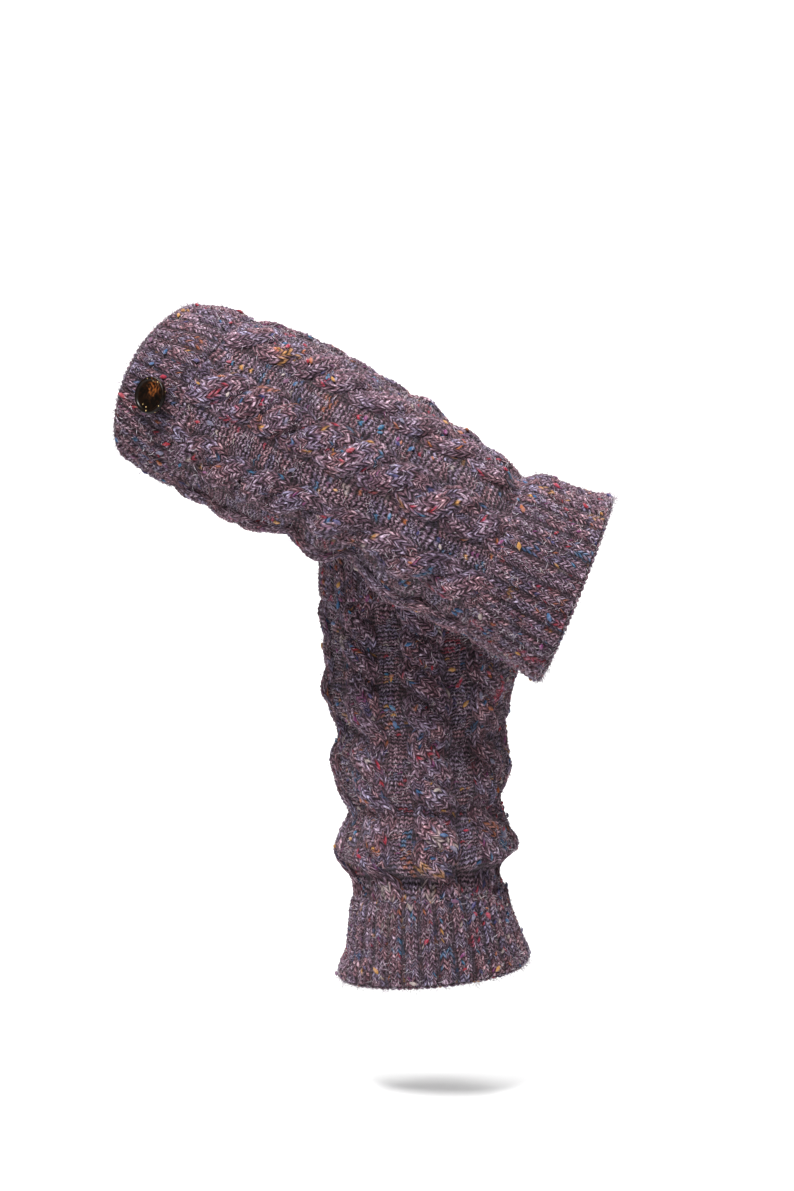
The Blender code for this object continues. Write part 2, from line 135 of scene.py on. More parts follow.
# The raised one, which falls from the viewer's left to the right in front of the other's top
raised = {
    "name": "raised",
    "flecks": 1.0,
    "nepps": 200,
    "top": (-195 * mm, -122.5 * mm, 152.8 * mm),
    "fall": math.radians(26.5),
    "nearing": math.radians(2.2),
    "cableTurn": math.radians(13),
    "seat": (-187.183, -192.453, 138.007),
    "facing": (-0.54626, -0.82593, 0.13943),
    "flatUpperCuff": (0.440, 0.046),
    "flatBody": (0.452, 0.246),
    "flatLowerCuff": (0.452, 0.066),
    "topRim": {"along": 8.5 * mm, "lean": 11 * mm, "bow": 3 * mm, "skew": 1.5 * mm},
    "bottomRim": {"along": 358 * mm, "lean": 1 * mm, "skew": 6 * mm},
    "crossings": (55, 85, 109, 136, 171, 203, 242, 278),
    "form": (
        (-15, 56.0, 52.0, 64.0, 62.0),
        (8, 64.5, 63.5, 67.0, 65.5),
        (28, 69.5, 71.5, 69.0, 68.0),
        (52, 71.0, 73.5, 70.5, 69.5),
        (78, 72.5, 78.5, 71.5, 69.5),
        (106, 74.0, 80.2, 72.5, 72.2),
        (131, 73.0, 80.0, 72.0, 68.0),
        (147, 70.5, 78.5, 71.0, 63.5),
        (163, 72.5, 77.2, 71.5, 68.5),
        (184, 72.0, 75.4, 71.0, 65.7),
        (197, 69.5, 77.4, 70.5, 59.0),
        (211, 71.0, 72.7, 70.5, 62.0),
        (223, 72.0, 68.6, 70.0, 70.0),
        (237, 71.5, 68.9, 69.5, 72.2),
        (253, 69.5, 65.4, 69.0, 70.5),
        (271, 68.0, 62.7, 68.0, 70.5),
        (287, 65.5, 59.2, 67.0, 70.7),
        (298, 68.0, 65.8, 68.5, 71.0),
        (318, 70.0, 67.6, 70.0, 72.0),
        (340, 72.5, 71.6, 72.5, 75.2),
        (352, 74.0, 76.0, 74.0, 76.6),
        (368, 73.0, 73.4, 73.0, 77.6),
    ),
    "folds": (
        (60, -44, 30, 9, 2.6, 0.10),
        (118, 28, 34, 8, 2.4, -0.16),
        (150, -62, 40, 8, 4.0, 0.22),
        (196, -58, 36, 7, 4.2, 0.18),
        (212, 24, 44, 8, 2.6, -0.20),
        (262, -18, 42, 8, 3.2, 0.12),
        (282, 52, 40, 7, 4.2, -0.16),
        (88, 172, 46, 9, 3.0, 0.14),
        (158, 150, 40, 8, 3.6, -0.18),
        (230, 196, 52, 8, 3.8, 0.12),
        (278, 158, 38, 7, 3.4, -0.10),
    ),
}


# Axis, side and near directions of a leg, from its lean or its fall
def setUpLeg(leg):
    if "fall" in leg:
        level = math.cos(leg["fall"]) * math.cos(leg["nearing"])
        drop = math.sin(leg["fall"]) * math.cos(leg["nearing"])
        leg["down"] = np.array((level, -math.sin(leg["nearing"]), -drop))
        leg["side"] = np.array((math.sin(leg["fall"]), 0, math.cos(leg["fall"])))
        leg["origin"] = np.array(leg["top"])
    else:
        leg["down"] = np.array((math.sin(leg["lean"]), 0, -math.cos(leg["lean"])))
        leg["side"] = np.array((math.cos(leg["lean"]), 0, math.sin(leg["lean"])))
        leg["origin"] = -leg["down"] * knit["upperCuff"] / 2
    near = np.cross(leg["down"], leg["side"])
    leg["near"] = near if near[1] < 0 else -near
    leg["table"] = np.array(leg["form"]) * mm


# Cubic curve through (places, values), with slopes from the neighbouring rows
def smoothBetween(at, places, values):
    slopes = np.gradient(values, places)
    at = np.clip(at, places[0], places[-1])
    k = np.clip(np.searchsorted(places, at, side="right") - 1, 0, len(places) - 2)
    step = places[k + 1] - places[k]
    t = (at - places[k]) / step
    start = (1 + 2 * t) * (1 - t) ** 2 * values[k]
    end = t * t * (3 - 2 * t) * values[k + 1]
    return start + end + t * (1 - t) * step * ((1 - t) * slopes[k] - t * slopes[k + 1])


# Sum of sines around and along the tube, with seeded phases: soft unevenness between -1 and 1
def unevenness(around, along, seed, turns, length, count=6):
    rng = np.random.default_rng(seed)
    total = 0
    for _ in range(count):
        k = rng.integers(0, turns + 1)
        wave = fullTurn / (length * rng.uniform(0.7, 1.6))
        total = total + np.sin(k * around + rng.choice((-1, 1)) * wave * along + rng.uniform(0, fullTurn))
    return total / math.sqrt(count) * 0.7


# Distance of a rim down the leg: it leans with the cosine of the angle, bows with its double's
# cosine, and is skewed by its sine
def topRim(leg, around):
    rim = leg["topRim"]
    bow = rim["lean"] * np.cos(around) + rim["bow"] * (1 + np.cos(2 * around))
    return rim["along"] - bow - rim["skew"] * np.sin(around)


# The same without a bow, for the lower rim
def bottomRim(leg, around):
    rim = leg["bottomRim"]
    return rim["along"] + rim["lean"] * np.cos(around) - rim["skew"] * np.sin(around)


# Outline radius: four sides blended by squared cosine and sine, less gaussian folds
def outlineRadius(leg, around, along):
    cosine, sine = np.cos(around), np.sin(around)
    weights = (
        np.maximum(cosine, 0) ** 2,
        np.maximum(sine, 0) ** 2,
        np.maximum(-cosine, 0) ** 2,
        np.maximum(-sine, 0) ** 2,
    )
    table = leg["table"]
    radius = sum(w * smoothBetween(along, table[:, 0], table[:, 1 + k]) for k, w in enumerate(weights))
    for place, middle, spread, height, depth, fall in leg["folds"]:
        turn = np.degrees((around - math.radians(middle) + math.pi) % fullTurn - math.pi)
        line = (place + fall * turn) * mm
        across = np.exp(-(((along - line) / (height * mm)) ** 2))
        radius = radius - depth * mm * across * np.exp(-((turn / spread) ** 4))
    return radius


# Painted shade in the creases: narrower than their folds, and full at a fold this many mm deep
creaseShade = {"width": 0.6, "fullDepth": 6, "shade": 0.75}


# How deep a point lies in a crease, from 0 to 1: the folds' gaussians, narrowed and summed. It masks the
# painted crease shade.
def creaseAt(leg, around, along):
    depths = np.zeros(np.broadcast(around, along).shape)
    for place, middle, spread, height, depth, fall in leg["folds"]:
        turn = np.degrees((around - math.radians(middle) + math.pi) % fullTurn - math.pi)
        line = (place + fall * turn) * mm
        across = np.exp(-(((along - line) / (creaseShade["width"] * height * mm)) ** 2))
        depths = depths + depth / creaseShade["fullDepth"] * across * np.exp(-((turn / spread) ** 4))
    return np.clip(depths, 0, 1)


# Point at an angle, distance down the leg and radius
def placePoints(leg, around, along, radius):
    outward = np.cos(around)[..., None] * leg["near"] + np.sin(around)[..., None] * leg["side"]
    return leg["origin"] + along[..., None] * leg["down"] + radius[..., None] * outward


# Where the body starts and ends at an angle: the rims, moved in by the cuffs' lengths
def bodySpan(leg, around):
    return topRim(leg, around) + knit["upperCuff"], bottomRim(leg, around) - knit["lowerCuff"]


# Distance down the leg where the rope has made this many crossings; past an end it runs on at
# one row's pitch for each row
def alongAt(leg, crossed, around):
    first, last = bodySpan(leg, around)
    nearFirst, nearLast = bodySpan(leg, 0.0)
    count = len(leg["crossings"])
    marks = np.concatenate([[0], np.arange(count) + 0.5, [count]])
    shares = (np.array(leg["crossings"]) * mm - nearFirst) / (nearLast - nearFirst)
    share = smoothBetween(crossed, marks, np.concatenate([[0], shares, [1]]))
    beyond = crossed - np.clip(crossed, 0, count)
    return first + (last - first) * share + beyond * knit["rowsPerCrossing"] * knit["rowPitch"]


# Cables wander a little: a smooth turn around the leg that dies away at both ends of the body
def swayed(leg, around, along):
    first, last = bodySpan(leg, around)
    room = np.clip(np.minimum(along - first, last - along) / knit["swayRoom"], 0, 1)
    seed = knit["seed"] + 70 + len(leg["name"])
    return around + knit["sway"] * room * unevenness(around, along, seed, 5, 70 * mm)


# A yarn leg's height over its valleys: high between two rows and between two leg edges
def yarnLobe(rowPart, legPart):
    return np.sin(math.pi * rowPart) ** 0.6 * (0.3 + 0.7 * np.abs(np.sin(fullTurn * legPart)) ** 0.8)


# Seeded random number for each pair of whole numbers, the same on every run
def pairHash(a, b, salt):
    mixed = (np.asarray(a).astype(np.int64) * 73856093) ^ (np.asarray(b).astype(np.int64) * 19349663)
    mixed = (mixed ^ (salt * 83492791)) & 0x7FFFFFFF
    mixed = (mixed * 1103515245 + 12345) & 0x7FFFFFFF
    mixed = ((mixed >> 7) * 1664525 + 1013904223) & 0x7FFFFFFF
    return (mixed >> 5 & 0xFFFFF) / 0xFFFFF


# Faces of a grid that closes around, turned outwards; closeRows joins the last row to the first
def gridFaces(rows, columns, closeRows, start=0):
    r = np.arange(rows if closeRows else rows - 1)[:, None]
    c = np.arange(columns)[None, :]
    nextRow = (r + 1) % rows
    nextColumn = (c + 1) % columns
    here = r * columns
    below = nextRow * columns
    corners = [below + c, below + nextColumn, here + nextColumn, here + c]
    return np.stack(corners, axis=-1).reshape(-1, 4) + start


# New mesh piece from points, equal-sided faces and point colours. Where a face crosses the seam
# of the yarn map, its low side gets one whole turn more.
def makePiece(name, points, faces, material, colours=None, uv=None, uvTurn=0):
    mesh = bpy.data.meshes.new(name)
    points = np.asarray(points, np.float32).reshape(-1, 3)
    faces = np.asarray(faces, np.int32)
    sides = faces.shape[1]
    mesh.vertices.add(len(points))
    mesh.vertices.foreach_set("co", points.ravel())
    mesh.loops.add(faces.size)
    mesh.loops.foreach_set("vertex_index", faces.ravel())
    mesh.polygons.add(len(faces))
    mesh.polygons.foreach_set("loop_start", np.arange(0, faces.size, sides, dtype=np.int32))
    mesh.update(calc_edges=True)
    mesh.shade_smooth()
    for key, values in (colours or {}).items():
        layer = mesh.color_attributes.new(key, "FLOAT_COLOR", "POINT")
        layer.data.foreach_set("color", np.asarray(values, np.float32).reshape(-1))
    if uv is not None:
        corners = np.asarray(uv, np.float32).reshape(-1, 2)[faces]
        u = corners[..., 0]
        crosses = (u.max(axis=1) - u.min(axis=1) > uvTurn / 2)[:, None] & (uvTurn > 0)
        corners[..., 0] = np.where(crosses & (u < uvTurn / 2), u + uvTurn, u)
        mesh.uv_layers.new(name="yarn").data.foreach_set("uv", corners.ravel())
    mesh.materials.append(material)
    piece = bpy.data.objects.new(name, mesh)
    bpy.context.scene.collection.objects.link(piece)
    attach(piece, "root")
    return piece


# Shader network helpers: one node with its settings, and one ramp with its stops
def addNode(tree, kind, settings=(), inputs=()):
    node = tree.nodes.new(kind)
    for key, value in dict(settings).items():
        setattr(node, key, value)
    for key, value in dict(inputs).items():
        node.inputs[key].default_value = value
    return node


def addRamp(tree, source, stops):
    node = tree.nodes.new("ShaderNodeValToRGB")
    elements = node.color_ramp.elements
    while len(elements) < len(stops):
        elements.new(0.5)
    for element, (place, colour) in zip(elements, stops):
        element.position = place
        element.color = (*colour, 1)
    tree.links.new(source, node.inputs["Fac"])
    return node.outputs["Color"]


# Math, vector math and mix nodes take plain numbers, vectors and colours, or other nodes' sockets
def addMath(tree, operation, first, second):
    node = tree.nodes.new("ShaderNodeMath")
    node.operation = operation
    for socket, value in zip(node.inputs, (first, second)):
        if isinstance(value, (int, float)):
            socket.default_value = value
        else:
            tree.links.new(value, socket)
    return node.outputs[0]


def addVector(tree, operation, first, second):
    node = tree.nodes.new("ShaderNodeVectorMath")
    node.operation = operation
    for socket, value in zip(node.inputs, (first, second)):
        if isinstance(value, tuple):
            socket.default_value = value
        else:
            tree.links.new(value, socket)
    return node.outputs[0]


# A value times a factor, plus an offset
def addLine(tree, value, factor, offset):
    line = addMath(tree, "MULTIPLY_ADD", value, factor)
    line.node.inputs[2].default_value = offset
    return line


# Smooth step of a value from one range to another
def addRange(tree, value, source, target):
    node = tree.nodes.new("ShaderNodeMapRange")
    node.interpolation_type = "SMOOTHSTEP"
    for socket, limit in zip(node.inputs[1:5], source + target):
        socket.default_value = limit
    tree.links.new(value, node.inputs[0])
    return node.outputs[0]


def addMix(tree, blend, amount, first, second):
    node = tree.nodes.new("ShaderNodeMix")
    node.data_type = "RGBA"
    node.blend_type = blend
    if isinstance(amount, (int, float)):
        node.inputs[0].default_value = amount
    else:
        tree.links.new(amount, node.inputs[0])
    for socket, value in ((node.inputs[6], first), (node.inputs[7], second)):
        if isinstance(value, tuple):
            socket.default_value = (*value, 1)
        else:
            tree.links.new(value, socket)
    return node.outputs[2]


# New material with its shader's own sockets set
def newMaterial(name, sockets):
    material = bpy.data.materials.new(name)
    material.use_nodes = True
    shader = material.node_tree.nodes["Principled BSDF"]
    for key, value in sockets.items():
        shader.inputs[key].default_value = value
    return material, material.node_tree, shader


# Tweed wool: each yarn leg and each of its two plies has its own tone, fibres run along it, painted
# shade darkens the gaps that part it from the next one, and stray fibres cross it at two slants (in
# radians). Gaps are distances from an edge, in rows, legs or plies. A line is a factor and an offset
# for a noise.
wool = {
    "stops": (
        (0.10, (0.012, 0.005, 0.008)),
        (0.30, (0.050, 0.024, 0.035)),
        (0.50, (0.126, 0.075, 0.098)),
        (0.70, (0.265, 0.194, 0.234)),
        (0.92, (0.660, 0.590, 0.650)),
    ),
    "tints": (
        (0.0, (1.20, 0.86, 0.82)),
        (0.3, (1.10, 0.92, 0.95)),
        (0.7, (1.00, 0.95, 1.06)),
        (1.0, (0.82, 0.93, 1.18)),
    ),
    # The cavity ramp paints shade from the height channel: dark in valleys, under the cables, at the
    # gutters' sides, at strand edges, in creases and inside the tube, and a little lighter on crests
    "cavityShade": ((0.0, (0.12, 0.09, 0.10)), (0.35, (0.55, 0.50, 0.53)), (1.0, (1.08, 1.05, 1.08))),
    # The stroke ramp paints shade in the gaps between yarns and lightens the strokes' middles
    "strokeShade": ((0.0, (0.12, 0.09, 0.10)), (0.55, (0.68, 0.64, 0.66)), (1.0, (1.20, 1.18, 1.20))),
    "cableGap": (0.02, 0.32),
    "groundGap": (0.05, 0.40),
    "edgeGap": (0, 0.2),
    "legFloor": 0.35,
    "plyFloor": 0.6,
    "warp": 0.50,
    "warpScale": 240.0,
    "patchScale": 620.0,
    "patchLine": (3.0, -1.0),
    "fibreStretch": (4.6, 1.7, 0),
    "fibreLine": (3.4, -1.2),
    "fineScale": 1500.0,
    "fineRelief": 0.8,
    "strokeRelief": 1.2,
    "relief": 0.6 * mm,
    "legShare": 0.18,
    "plyShare": 0.34,
    "strayShare": 0.26,
    "fibreShare": 0.36,
    "patchShare": 0.14,
    "slants": (0.5, -0.75),
    "strayRange": (0.53, 0.66),
    "strayFill": 0.65,
    "slubFade": 0.2,
    "sockets": {
        "Roughness": 0.95,
        "Specular IOR Level": 0.15,
        "Sheen Weight": 0.12,
        "Sheen Roughness": 0.6,
        "Sheen Tint": (0.85, 0.78, 0.85, 1),
    },
}


# Fibres that cross the stitches: the yarn map turned by the slant, noise drawn out along it, and a
# smooth step that keeps its peaks
def strayFibres(tree, where, slant):
    turned = addNode(tree, "ShaderNodeVectorRotate", {"rotation_type": "Z_AXIS"}, {"Angle": slant})
    tree.links.new(addVector(tree, "MULTIPLY", where, (5.0, 3.2, 0)), turned.inputs["Vector"])
    streak = addNode(tree, "ShaderNodeTexNoise", (), {"Scale": 1.0, "Detail": 2.0, "Distortion": 0.5})
    drawn = addVector(tree, "MULTIPLY", turned.outputs[0], (1.1, 0.22, 0))
    tree.links.new(drawn, streak.inputs["Vector"])
    return addRange(tree, streak.outputs[0], wool["strayRange"], (0, 1))


# Shade of the wool: random shares of the leg and its ply, plus stray fibres, own fibres and patches.
# Whole numbers of legs and rows name a leg, and its colour shifts its own fibres.
def woolShade(tree, where, legs, patch, stray):
    leg = addNode(tree, "ShaderNodeTexWhiteNoise", {"noise_dimensions": "2D"})
    tree.links.new(addVector(tree, "FLOOR", legs, (0, 0, 0)), leg.inputs["Vector"])
    own = addVector(tree, "MULTIPLY", leg.outputs["Color"], (9, 9, 9))
    along = addVector(tree, "MULTIPLY", where, wool["fibreStretch"])
    fibre = addNode(tree, "ShaderNodeTexNoise", (), {"Scale": 1.0, "Detail": 3.0, "Roughness": 0.7})
    tree.links.new(addVector(tree, "ADD", along, own), fibre.inputs["Vector"])
    fibreValue = addLine(tree, fibre.outputs[0], *wool["fibreLine"])
    patchValue = addLine(tree, patch.outputs[0], *wool["patchLine"])
    ply = addNode(tree, "ShaderNodeTexWhiteNoise", {"noise_dimensions": "2D"})
    plies = addVector(tree, "ADD", addVector(tree, "MULTIPLY", where, (4, 1, 0)), (0.0, 0.5, 0))
    tree.links.new(addVector(tree, "FLOOR", plies, (0, 0, 0)), ply.inputs["Vector"])
    shade = addMath(tree, "MULTIPLY", leg.outputs["Value"], wool["legShare"])
    for value, share in (
        (ply.outputs["Value"], wool["plyShare"]),
        (stray, wool["strayShare"]),
        (fibreValue, wool["fibreShare"]),
        (patchValue, wool["patchShare"]),
    ):
        shade = addMath(tree, "ADD", shade, addMath(tree, "MULTIPLY", value, share))
    return shade, fibreValue


# Strokes of yarn between gaps: smooth steps away from the edges of rows, legs and plies, multiplied,
# and the higher of that and the stray fibres. The stroke ramp reads it as painted shade in the gaps.
def yarnStrokes(tree, legs, gap, stray):
    axes = addNode(tree, "ShaderNodeSeparateXYZ")
    tree.links.new(legs, axes.inputs[0])
    fromRow = addMath(tree, "PINGPONG", axes.outputs[1], 0.5)
    fromLeg = addMath(tree, "PINGPONG", axes.outputs[0], 0.5)
    fromPly = addMath(tree, "PINGPONG", addMath(tree, "MULTIPLY", axes.outputs[0], 2.0), 0.5)
    rowPart = addRange(tree, fromRow, gap, (0, 1))
    legPart = addRange(tree, fromLeg, wool["edgeGap"], (wool["legFloor"], 1))
    plyPart = addRange(tree, fromPly, wool["edgeGap"], (wool["plyFloor"], 1))
    stroke = addMath(tree, "MULTIPLY", addMath(tree, "MULTIPLY", rowPart, legPart), plyPart)
    return addMath(tree, "MAXIMUM", stroke, addMath(tree, "MULTIPLY", stray, wool["strayFill"]))


# Colour: the shade value on a ramp times a tint, under the slub's colour, with painted shade in the
# gaps between yarns and in the valleys, creases and hollows. Relief: the fibres, a fine noise and
# the strokes.
def tweedMaterial(name, gap):
    material, tree, shader = newMaterial(name, wool["sockets"])
    heatherAndShade = addNode(tree, "ShaderNodeAttribute", {"attribute_name": "heatherAndShade"})
    slub = addNode(tree, "ShaderNodeAttribute", {"attribute_name": "slub"})
    parts = addNode(tree, "ShaderNodeSeparateColor")
    tree.links.new(heatherAndShade.outputs["Color"], parts.inputs[0])
    yarnMap = addNode(tree, "ShaderNodeUVMap", {"uv_map": "yarn"})
    place = addNode(tree, "ShaderNodeTexCoord")
    wobble = addNode(tree, "ShaderNodeTexNoise", (), {"Scale": wool["warpScale"], "Detail": 1.0})
    patch = addNode(tree, "ShaderNodeTexNoise", (), {"Scale": wool["patchScale"], "Roughness": 0.6})
    fine = addNode(tree, "ShaderNodeTexNoise", (), {"Scale": wool["fineScale"]})
    for node in (wobble, patch, fine):
        tree.links.new(place.outputs["Object"], node.inputs["Vector"])
    shift = addVector(tree, "SUBTRACT", wobble.outputs["Color"], (0.5, 0.5, 0.5))
    shift = addVector(tree, "MULTIPLY", shift, (0.5 * wool["warp"], wool["warp"], 0))
    where = addVector(tree, "ADD", yarnMap.outputs[0], shift)
    legs = addVector(tree, "MULTIPLY", where, (2, 1, 0))
    stray = addMath(tree, "MAXIMUM", *[strayFibres(tree, where, slant) for slant in wool["slants"]])
    shade, fibreValue = woolShade(tree, where, legs, patch, stray)
    colour = addRamp(tree, shade, wool["stops"])
    colour = addMix(tree, "MULTIPLY", 1.0, colour, addRamp(tree, parts.outputs[1], wool["tints"]))
    bright = addMix(tree, "MIX", wool["slubFade"], slub.outputs["Color"], colour)
    colour = addMix(tree, "MIX", slub.outputs["Alpha"], colour, bright)
    relief = addMath(tree, "MULTIPLY", fine.outputs[0], wool["fineRelief"])
    relief = addMath(tree, "ADD", fibreValue, relief)
    if gap:
        stroke = yarnStrokes(tree, legs, gap, stray)
        # Painted shade in the gaps between yarns, a little lighter in the strokes' middles
        colour = addMix(tree, "MULTIPLY", 1.0, colour, addRamp(tree, stroke, wool["strokeShade"]))
        relief = addMath(tree, "ADD", relief, addMath(tree, "MULTIPLY", stroke, wool["strokeRelief"]))
    # Painted shade: the cavity ramp darkens valleys, creases and hollows by the height channel
    colour = addMix(tree, "MULTIPLY", 1.0, colour, addRamp(tree, parts.outputs[2], wool["cavityShade"]))
    tree.links.new(colour, shader.inputs["Base Color"])
    bump = addNode(tree, "ShaderNodeBump", (), {"Strength": 0.9, "Distance": wool["relief"]})
    tree.links.new(relief, bump.inputs["Height"])
    tree.links.new(bump.outputs[0], shader.inputs["Normal"])
    return material


# Loose fibres of the halo: thin bent hairs, mostly pale
looseFibre = {
    "stops": ((0.0, (0.09, 0.065, 0.08)), (0.5, (0.30, 0.24, 0.28)), (1.0, (0.78, 0.71, 0.77))),
    "sockets": {"Roughness": 0.8, "Specular IOR Level": 0.2},
}


# Each hair's random value read on a ramp
def fibreMaterial():
    material, tree, shader = newMaterial("looseFibre", looseFibre["sockets"])
    heatherAndShade = addNode(tree, "ShaderNodeAttribute", {"attribute_name": "heatherAndShade"})
    parts = addNode(tree, "ShaderNodeSeparateColor")
    tree.links.new(heatherAndShade.outputs["Color"], parts.inputs[0])
    tree.links.new(addRamp(tree, parts.outputs[0], looseFibre["stops"]), shader.inputs["Base Color"])
    return material


# Polished mottled horn: near-black brown, amber where the patch attribute is high, gold flecks
horn = {
    "dark": (0.003, 0.002, 0.0015),
    "brown": (0.024, 0.009, 0.004),
    "amber": (0.170, 0.050, 0.012),
    "gold": (0.560, 0.390, 0.170),
    "cloudScale": 200.0,
    "cloudFrom": 0.42,
    "warmth": 5.0,
    "cellScale": 330.0,
    "fleckShare": 0.5,
    "fleckSize": 0.17,
    "sockets": {"Roughness": 0.3, "Specular IOR Level": 0.14},
}


# A cloud noise times the patch, read on a ramp, with gold near the middle of some cells
def hornMaterial():
    material, tree, shader = newMaterial("mottledHorn", horn["sockets"])
    place = addNode(tree, "ShaderNodeTexCoord")
    cloudSettings = {"Scale": horn["cloudScale"], "Detail": 4.0, "Distortion": 2.0}
    cloud = addNode(tree, "ShaderNodeTexNoise", (), cloudSettings)
    cells = addNode(tree, "ShaderNodeTexVoronoi", (), {"Scale": horn["cellScale"]})
    for node in (cloud, cells):
        tree.links.new(place.outputs["Object"], node.inputs["Vector"])
    patch = addNode(tree, "ShaderNodeAttribute", {"attribute_name": "patch"})
    parts = addNode(tree, "ShaderNodeSeparateColor")
    tree.links.new(patch.outputs["Color"], parts.inputs[0])
    warm = addMath(tree, "SUBTRACT", cloud.outputs[0], horn["cloudFrom"])
    warm = addMath(tree, "MULTIPLY", warm, horn["warmth"])
    warm = addMath(tree, "MULTIPLY", warm, parts.outputs[0])
    stops = ((0.0, horn["dark"]), (0.3, horn["brown"]), (0.85, horn["amber"]))
    colour = addRamp(tree, warm, stops)
    cellParts = addNode(tree, "ShaderNodeSeparateColor")
    tree.links.new(cells.outputs["Color"], cellParts.inputs[0])
    chosen = addMath(tree, "GREATER_THAN", cellParts.outputs[0], horn["fleckShare"])
    near = addMath(tree, "LESS_THAN", cells.outputs["Distance"], horn["fleckSize"])
    colour = addMix(tree, "MIX", addMath(tree, "MULTIPLY", chosen, near), colour, horn["gold"])
    tree.links.new(colour, shader.inputs["Base Color"])
    return material


cableWool = tweedMaterial("cableWool", wool["cableGap"])
groundWool = tweedMaterial("groundWool", wool["groundGap"])
tuftWool = tweedMaterial("tuftWool", None)
fibres = fibreMaterial()
hornFinish = hornMaterial()
print("materials made")

# Coloured slubs in the yarn, as a share of the yarn legs, and their linear colours
slubs = {
    "share": 0.048,
    "clusters": 0.14,
    "clusterLegs": 5,
    "clusterRows": 4,
    "clusterShare": 0.24,
    "clusterAmount": 0.75,
    "colours": (
        (0.360, 0.008, 0.018),
        (0.430, 0.015, 0.042),
        (0.440, 0.130, 0.022),
        (0.600, 0.310, 0.060),
        (0.009, 0.135, 0.300),
        (0.014, 0.190, 0.340),
        (0.220, 0.030, 0.150),
        (0.025, 0.040, 0.160),
        (0.480, 0.430, 0.370),
        (0.180, 0.190, 0.270),
        (0.190, 0.090, 0.160),
    ),
}


# Colour attributes: one holds two random tones and the height over the valleys, which the cavity
# ramp reads as painted shade, and slub holds a colour with its amount. Slubs come singly, and closer
# together in clusters of one colour. The second random value is shared by three legs and two rows.
def yarnColours(leg, legNumber, rowNumber, height, salt):
    salt = salt + 3 * len(leg["name"])
    first = pairHash(legNumber, rowNumber, salt)
    second = pairHash(legNumber // 3, rowNumber // 2, salt + 5)
    heatherAndShade = np.stack([first, second, height, np.ones_like(first)], axis=-1)
    palette = np.array(slubs["colours"])
    legPatch = legNumber // slubs["clusterLegs"]
    rowPatch = rowNumber // slubs["clusterRows"]
    inCluster = pairHash(legPatch, rowPatch, salt + 13) < slubs["clusters"]
    single = pairHash(rowNumber, legNumber, salt + 3)
    shared = pairHash(rowPatch, legPatch, salt + 4)
    chosen = (np.where(inCluster, shared, single) * len(palette)).astype(int) % len(palette)
    share = np.where(inCluster, slubs["clusterShare"], slubs["share"]) * leg["flecks"]
    amount = pairHash(legNumber, rowNumber, salt + 9) < share
    amount = amount * np.where(inCluster, slubs["clusterAmount"], 1.0)
    return {"heatherAndShade": heatherAndShade, "slub": np.concatenate([palette[chosen], amount[..., None]], axis=-1)}


# Ribbed cuff: a closed wall whose rows run down the outside, round the ends and up the inside
cuffShape = {
    "samples": 4,
    "ribLift": 1.9 * mm,
    "yarnLift": 1.7 * mm,
    "rungLift": 1.2 * mm,
    "rise": -0.2 * mm,
    "pairDip": 0.8 * mm,
    "drift": 0.5,
    "rowPitch": 3.4 * mm,
    "tuckRows": 4,
    "groundTuck": 1.2 * mm,
    "ribTuck": (0.7 * mm, 2.4 * mm),
    "rimRoll": 2.2 * mm,
    "rollSteps": 5,
    "rimHairs": 4,
    "rimHeight": 0.58,
    "innerRelief": 0.6 * mm,
    "innerStep": 6,
    "wobble": 0.5 * mm,
}


